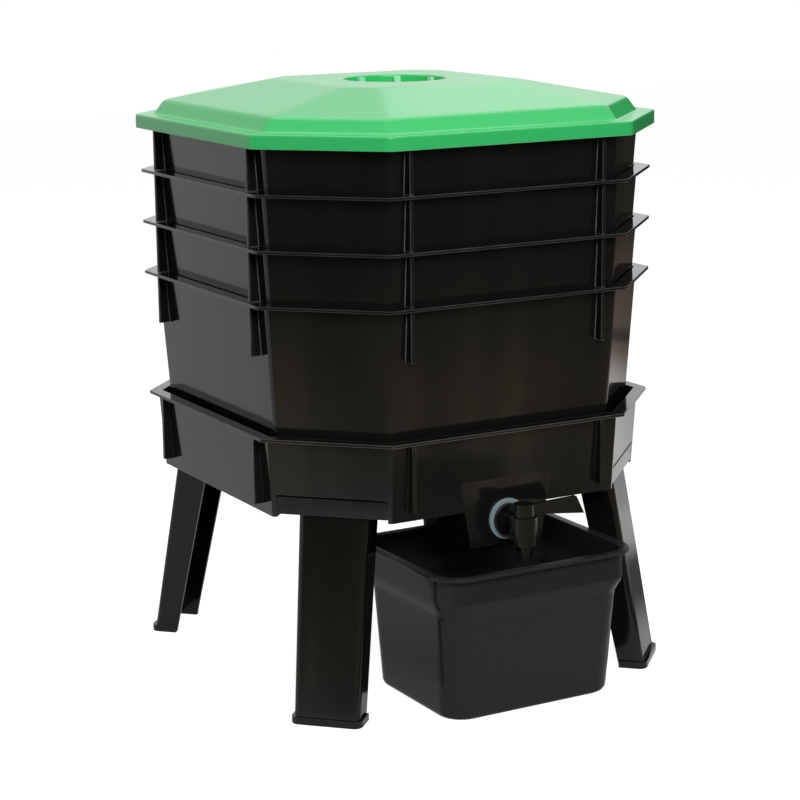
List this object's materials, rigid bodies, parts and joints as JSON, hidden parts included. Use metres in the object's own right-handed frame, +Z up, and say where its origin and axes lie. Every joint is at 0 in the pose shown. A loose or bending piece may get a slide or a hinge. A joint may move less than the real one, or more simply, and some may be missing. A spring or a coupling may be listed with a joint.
{
  "type": "wormery",
  "caption": "Stacking tray wormery with a hipped lid, nesting eight-sided trays, a collecting base with a lever tap, splayed channel legs and a drip tub.",
  "frame": {"origin": "on the floor, midway between the four feet", "axes": "+Z up through the middle of the stack, tap and tub towards -Y, +X to the right seen from the tap side"},
  "size_m": [0.45, 0.489, 0.5862],
  "materials": {
    "lid_green": "satin moulded plastic",
    "body_black": "glossy moulded plastic",
    "leg_black": "glossy moulded plastic",
    "tap_black": "satin moulded plastic",
    "washer_pale": "matte pale silicone rubber",
    "tub_black": "satin moulded plastic"
  },
  "bodies": {
    "base": {"collector_base": "body_black", "leg_back_right": "leg_black", "leg_back_left": "leg_black", "leg_front_left": "leg_black", "leg_front_right": "leg_black", "tap_body": "tap_black", "tap_outer_washer": "washer_pale", "tap_inner_washer": "washer_pale", "tap_lock_nut": "tap_black"},
    "tray_1": {"tray_1": "body_black"},
    "tray_2": {"tray_2": "body_black"},
    "tray_3": {"tray_3": "body_black"},
    "tray_4": {"tray_4": "body_black"},
    "lid": {"lid": "lid_green"},
    "lever": {"tap_lever": "tap_black"},
    "tub": {"drip_tub": "tub_black"}
  },
  "joints": [
    {"name": "tray_1_lift", "type": "slide", "parent": "base", "child": "tray_1", "axis": [0, 0, 1], "range_m": [0, 0.1]},
    {"name": "tray_2_lift", "type": "slide", "parent": "tray_1", "child": "tray_2", "axis": [0, 0, 1], "range_m": [0, 0.16]},
    {"name": "tray_3_lift", "type": "slide", "parent": "tray_2", "child": "tray_3", "axis": [0, 0, 1], "range_m": [0, 0.16]},
    {"name": "tray_4_lift", "type": "slide", "parent": "tray_3", "child": "tray_4", "axis": [0, 0, 1], "range_m": [0, 0.16]},
    {"name": "lid_lift", "type": "slide", "parent": "tray_4", "child": "lid", "axis": [0, 0, 1], "range_m": [0, 0.12]},
    {"name": "lever_turn", "type": "hinge", "parent": "base", "child": "lever", "pos_m": [0, -0.23996, 0.181], "axis": [0, 0, -1], "range_deg": [0, 90]},
    {"name": "tub_slide", "type": "slide", "parent": "base", "child": "tub", "axis": [0, -1, 0], "range_m": [0, 0.22]}
  ]
}
